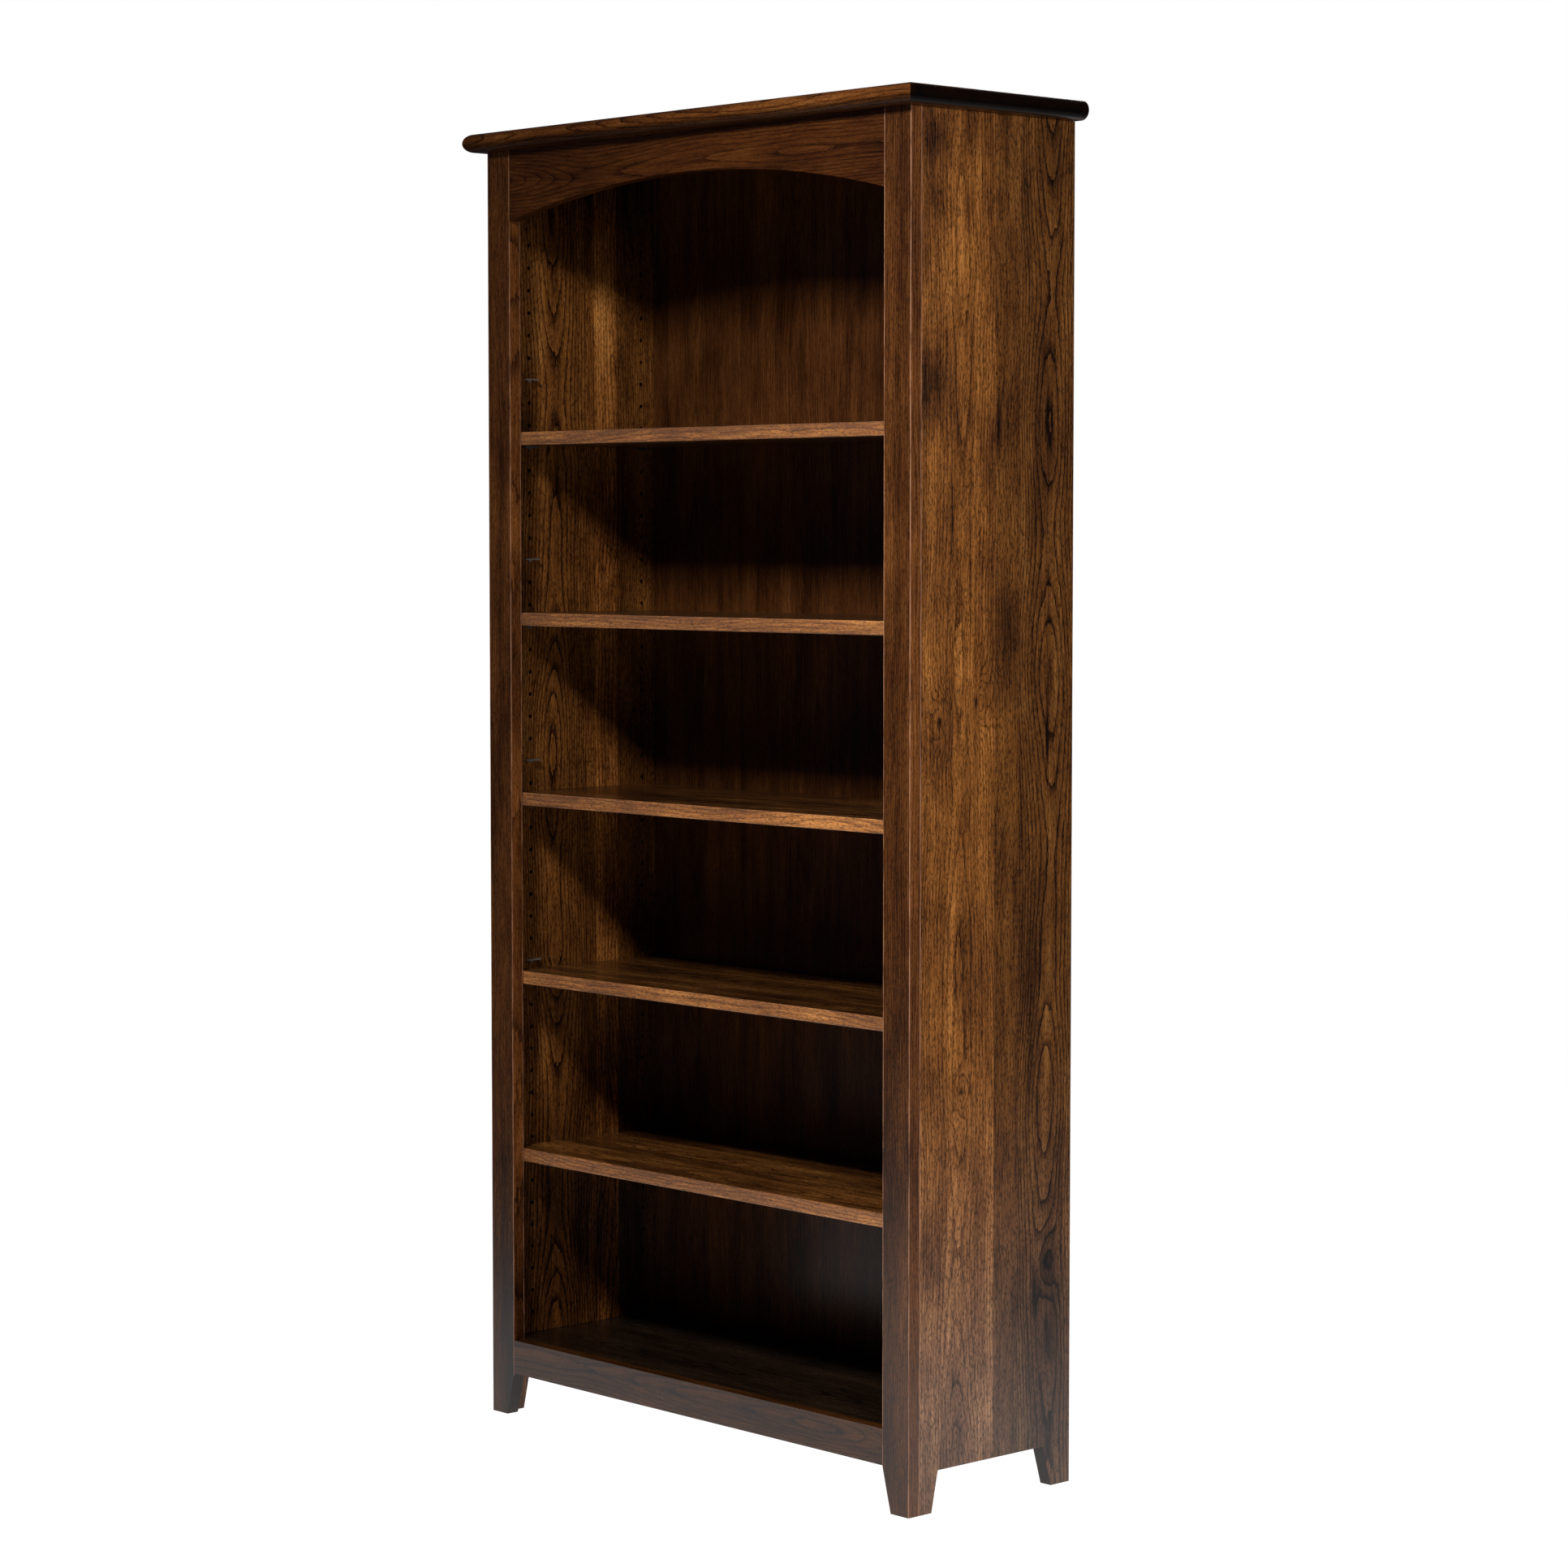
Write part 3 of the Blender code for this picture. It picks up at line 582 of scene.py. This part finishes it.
# %% From a grid of points to a closed piece
def ring_faces(rings, around):
    """The four-sided faces between neighbouring rings, each of which is closed on itself."""
    row, column = np.meshgrid(np.arange(rings - 1), np.arange(around), indexing="ij")
    here = row * around + column
    beside = row * around + (column + 1) % around
    return np.stack([here, beside, beside + around, here + around], -1).reshape(-1, 4)


def closed_surface(name, grid, material, body, stands_for, sharp=None):
    """grid is rows of rings. Neighbouring rings are joined, and the first and last are capped."""
    rings, around = grid.shape[:2]
    faces = ring_faces(rings, around).tolist()
    faces.append(list(range(around))[::-1])
    faces.append(list(range((rings - 1) * around, rings * around)))
    mesh = bpy.data.meshes.new(name)
    mesh.from_pydata(grid.reshape(-1, 3).tolist(), [], faces)
    shell = bmesh.new()
    shell.from_mesh(mesh)
    bmesh.ops.remove_doubles(shell, verts=shell.verts, dist=1e-6)
    bmesh.ops.dissolve_degenerate(shell, edges=shell.edges, dist=1e-7)
    bmesh.ops.recalc_face_normals(shell, faces=shell.faces)
    open_edges = sum(1 for edge in shell.edges if len(edge.link_faces) != 2)
    shell.to_mesh(mesh)
    shell.free()
    mesh.shade_smooth()
    if sharp:
        mesh.set_sharp_from_angle(angle=sharp)
    mesh.materials.append(material)
    piece = bpy.data.objects.new(name, mesh)
    bpy.context.scene.collection.objects.link(piece)
    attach(piece, body)
    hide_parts(*stands_for)
    print(name, "has", len(mesh.polygons), "faces and", open_edges, "open edges")
    return piece


# %% [markdown]
# ## The loose shelves
#
# Five boards lie on small metal supports. Their long front edges catch the high light, and this
# is also painted into the wood: the long edges are painted paler than the faces, as a painted
# highlight. Each board is its own tree and has its own tone. Every edge is eased by sanding,
# and the surface below turns there in four small steps.

# %% The loose shelves
EASED_RADIUS = 0.0016
EASED_STEPS = 4


def eased_board(name, low, high, material, body, stands_for, slot):
    """A board with every edge rounded.

    A ball of the edge's radius is cut into eight parts, and each part is moved out to a corner
    of the board. u turns round the ball and v climbs it, and both stand still for one step
    where two parts were pulled away from each other.
    """
    low, high = np.array(low), np.array(high)
    quarter = np.linspace(0, np.pi / 2, EASED_STEPS + 1)
    u = np.concatenate([quarter + turn * np.pi / 2 for turn in range(4)])
    side_x = np.repeat([1, -1, -1, 1], EASED_STEPS + 1)
    side_y = np.repeat([1, 1, -1, -1], EASED_STEPS + 1)
    v = np.concatenate([quarter - np.pi / 2, quarter])
    side_z = np.repeat([-1, 1], EASED_STEPS + 1)
    climb, turn = np.meshgrid(v, u, indexing="ij")
    ball = np.stack([np.cos(climb) * np.cos(turn), np.cos(climb) * np.sin(turn),
                     np.sin(climb)], -1)
    corner = np.stack([np.broadcast_to(side_x, climb.shape), np.broadcast_to(side_y, climb.shape),
                       np.broadcast_to(side_z[:, None], climb.shape)], -1)
    reach = (high - low) / 2 - EASED_RADIUS
    grid = (low + high) / 2 + corner * reach + ball * EASED_RADIUS
    board = closed_surface(name, grid, material, body, stands_for)
    points = np.empty(len(board.data.vertices) * 3)
    board.data.vertices.foreach_get("co", points)
    points = points.reshape(-1, 3)
    away = points - np.clip(points, low + EASED_RADIUS, high - EASED_RADIUS)
    away /= np.linalg.norm(away, axis=1)[:, None]
    board.data.normals_split_custom_set_from_vertices(away.tolist())


# Each shelf's edge value and its pale edge colour paint its long edges paler, as a painted
# highlight.
for number, tone, edge in ((1, 0.31, 2.8), (2, 0.30, 3.0), (3, 0.30, 4.0), (4, 0.32, 3.4),
                           (5, 0.58, 2.0)):
    node = f"shelf_{number}"
    shelf_wood = hickory(node, "x", "y", [
        (-1.0, tone, -0.08, 0.7), (-0.03, 0.87 * tone, 0.02, 0.7), (0.06, 1.1 * tone, 0.12, 0.7)],
        seed=10.0 + 1.7 * number, contrast=1.3, edge=edge, painted_edge_highlight=0.15)
    eased_board(node + "_board", *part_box(node), shelf_wood, node, [node], "shelf_wood")

# %% [markdown]
# ## The top
#
# The top is a board with a half-round nose worked on its front and both ends, and a square
# back. Where the front nose meets an end nose the two curves cross in a crisp mitre line. The
# end grain of the top drank so much stain that it is nearly black.

# %% The top board
NOSE_STEPS = 20
FLAT_BEYOND_NOSE = 0.002
MITRE_ANGLE = math.radians(35)


def nosed_board(name, low, high, material, body, stands_for, slot):
    """A board whose outline is drawn in, at each height, as the nose's half circle says.

    At the angle t the outline is drawn in by r - r cos t on the front and both ends, at the
    height r sin t above the middle. The back stays where it is.
    """
    radius = (high.z - low.z) / 2
    t = np.linspace(-np.pi / 2, np.pi / 2, NOSE_STEPS + 1)
    cap = [radius + FLAT_BEYOND_NOSE]
    drawn_in = np.concatenate([cap, radius - radius * np.cos(t), cap])
    height = np.concatenate([[-radius], radius * np.sin(t), [radius]])
    left, right = low.x + drawn_in, high.x - drawn_in
    front, back = low.y + drawn_in, np.full_like(drawn_in, high.y)
    corners = [(left, front), (right, front), (right, back), (left, back)]
    grid = np.stack([np.stack([x, y, height + (low.z + high.z) / 2], -1) for x, y in corners], 1)
    closed_surface(name, grid, material, body, stands_for, MITRE_ANGLE)


# The top's nose is painted darker where it faces down, as painted shade.
top_wood = hickory(
    "top_board", "x", "y",
    [(-1.0, 0.42, -0.12, 0.9), (-0.06, 0.37, 0.01, 0.9), (0.05, 0.43, 0.11, 0.9)],
    seed=6.1, tint=(1.04, 0.92, 0.95), edge=0.88, end=0.93, painted_underside_shade=0.6, pored=0.7, rub_and_highlight=0.0,
    sheen=0.16)
nosed_board("top_with_nose", *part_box("top_board"), top_wood, "case", ["top_board"], "case_wood")

# %% [markdown]
# ## The metal pieces
#
# The shelf supports are nickel-plated steel. Those that carry a shelf are coloured darker, and
# the spare ones are bright. The screws are zinc-plated. All were brushed, so their shine
# is broken up by fine scratches.

# %% The metal
SCRATCHES_ALONG, SCRATCHES_ACROSS = 300.0, 4000.0
SCRATCH_DEPTH = 0.00002


def metal(name, colour, roughness):
    """Brushed metal, whose scratches are clouds drawn out along x, paler and rougher."""
    plate = Recipe(name)
    x, y, z = plate.parts(plate.position)
    brush = plate.clouds(plate.times(x, SCRATCHES_ALONG), plate.times(y, SCRATCHES_ACROSS),
                         plate.times(z, SCRATCHES_ACROSS))
    dark = tuple(part * 0.7 for part in colour)
    plate.feed(plate.shader.inputs["Base Color"], plate.blend(brush, dark, colour))
    plate.feed(plate.shader.inputs["Roughness"], plate.times_plus(brush, 0.2, roughness))
    plate.shader.inputs["Metallic"].default_value = 1.0
    plate.relief(brush, SCRATCH_DEPTH)
    return plate.material


spare_supports = [name for name in nodes if name.startswith("spare_support")]
loaded_supports = [name for name in nodes if name.startswith("support")]
screws = [name for name in nodes if "screw" in name]
dress(spare_supports, metal("nickel", (0.74, 0.71, 0.67), 0.30))
dress(loaded_supports, metal("dark_nickel", (0.24, 0.22, 0.20), 0.38))
dress(screws, metal("zinc", (0.55, 0.54, 0.50), 0.32))

# %% [markdown]
# ## The studio
#
# The floor is white paper that glows a little, so it stays white wherever it is looked at. What
# the varnish mirrors of it is dimmer to the left and to the right, as in a studio whose walls
# are dark. A painted backdrop would do as well, but it would have an edge.

# %% The floor
FLOOR_REACH = 4.0
SPOKES, CIRCLES = 96, 24
PAPER_GREY = 0.22
DIMMER_LEFT = {"start": -2.0, "end": -0.5, "low": 0.06, "high": 0.90}
DIMMER_RIGHT = {"start": 0.8, "end": 2.4, "low": 1.0, "high": 0.15}
RIGHT_SLANT = 0.731
angle = np.linspace(0, 2 * np.pi, SPOKES, endpoint=False)
radius = np.linspace(0.02, FLOOR_REACH, CIRCLES)
grid_r, grid_a = np.meshgrid(radius, angle, indexing="ij")
floor_points = np.stack([grid_r * np.cos(grid_a), grid_r * np.sin(grid_a), 0 * grid_r], -1)
floor_faces = ring_faces(CIRCLES, SPOKES)[:, ::-1].tolist()
floor_faces.append(list(range(SPOKES)))
floor_mesh = bpy.data.meshes.new("floor")
floor_mesh.from_pydata(floor_points.reshape(-1, 3).tolist(), [], floor_faces)
floor = bpy.data.objects.new("floor", floor_mesh)
bpy.context.scene.collection.objects.link(floor)

paper = Recipe("floor_paper")
floor_x, floor_y = paper.parts(paper.position)[:2]
paper.shader.inputs["Base Color"].default_value = (PAPER_GREY, PAPER_GREY, PAPER_GREY, 1.0)
paper.shader.inputs["Roughness"].default_value = 0.9
paper.shader.inputs["Specular IOR Level"].default_value = 0.1
paper.shader.inputs["Emission Color"].default_value = (*WHITE, 1.0)
to_the_right = paper.times_plus(floor_y, RIGHT_SLANT, floor_x)
glow = paper.times(paper.rise(floor_x, **DIMMER_LEFT), paper.rise(to_the_right, **DIMMER_RIGHT))
looked_at = paper.add("ShaderNodeLightPath").outputs["Is Camera Ray"]
paper.feed(paper.shader.inputs["Emission Strength"], paper.math("MAXIMUM", glow, looked_at))
floor_mesh.materials.append(paper.material)
print("the floor reaches", FLOOR_REACH, "m from the bookcase, in", len(floor_faces), "faces")

# %% [markdown]
# The world round the floor does the same: it is white where it is looked at, and a dark bluish
# grey to everything else, so that the inside of the case stays deep.

# %% The world
ROOM_GREY = (0.018, 0.020, 0.028)
world = bpy.data.worlds.new("studio")
bpy.context.scene.world = world
world.use_nodes = True
room = world.node_tree
seen = room.nodes.new("ShaderNodeLightPath")
shade = room.nodes.new("ShaderNodeMix")
shade.data_type = "RGBA"
shade.inputs[MIX_FIRST].default_value = (*ROOM_GREY, 1.0)
shade.inputs[MIX_SECOND].default_value = (*WHITE, 1.0)
room.links.new(seen.outputs["Is Camera Ray"], shade.inputs["Factor"])
room.links.new(shade.outputs[MIX_RESULT], room.nodes["Background"].inputs["Color"])
print("to all but the camera the room is", ROOM_GREY)

# %% [markdown]
# ## The lights
#
# One small soft lamp stands high in front. It throws the shelves' slanting shadows on the inside
# walls, and its size sets how soft they are. A larger one lights the right side evenly, and one
# behind is for looking at the back.


# %% The lights
def soft_light(name, place, target, width, tall, watts):
    """A flat lamp that faces its target."""
    data = bpy.data.lights.new(name, "AREA")
    data.shape = "RECTANGLE"
    data.size = width
    data.size_y = tall
    data.energy = watts
    lamp = bpy.data.objects.new(name, data)
    lamp.location = place
    lamp.rotation_euler = (Vector(target) - Vector(place)).to_track_quat("-Z", "Y").to_euler()
    bpy.context.scene.collection.objects.link(lamp)
    print("the", name, "lamp shines with", watts, "W")
    return lamp


key = soft_light("key", place=(0.58, -1.82, 2.65), target=(0.70, -0.15, 0.85),
                 width=0.40, tall=0.40, watts=33.0)
key.data.spread = math.radians(90)
soft_light("side", place=(2.60, -0.15, 1.50), target=(0.43, 0.02, 1.0),
           width=0.9, tall=1.6, watts=48.0)
soft_light("back", place=(-1.2, 3.2, 2.4), target=(0.0, 0.2, 0.9),
           width=2.0, tall=2.0, watts=50.0)
bpy.context.scene.view_settings.view_transform = "Standard"

# %% [markdown]
# ## The camera
#
# It stands half way round to the right side, at two thirds of the bookcase's height, and looks
# very slightly down, through a long lens that keeps the uprights nearly parallel.

# %% The camera
CAMERA_PLACE = (4.0083, -3.6419, 1.2633)
CAMERA_LOOKS = (-0.73502, 0.67512, -0.06303)
FOCAL_LENGTH, SENSOR_WIDTH = 90.6, 36.0
view = bpy.data.cameras.new("camera")
view.lens = FOCAL_LENGTH
view.sensor_width = SENSOR_WIDTH
view.clip_end = 60.0
camera = bpy.data.objects.new("camera", view)
camera.location = CAMERA_PLACE
camera.rotation_euler = Vector(CAMERA_LOOKS).to_track_quat("-Z", "Y").to_euler()
bpy.context.scene.collection.objects.link(camera)
bpy.context.scene.camera = camera
print("the camera stands", round(math.dist(CAMERA_PLACE, (0, 0, 1)), 2), "m away")
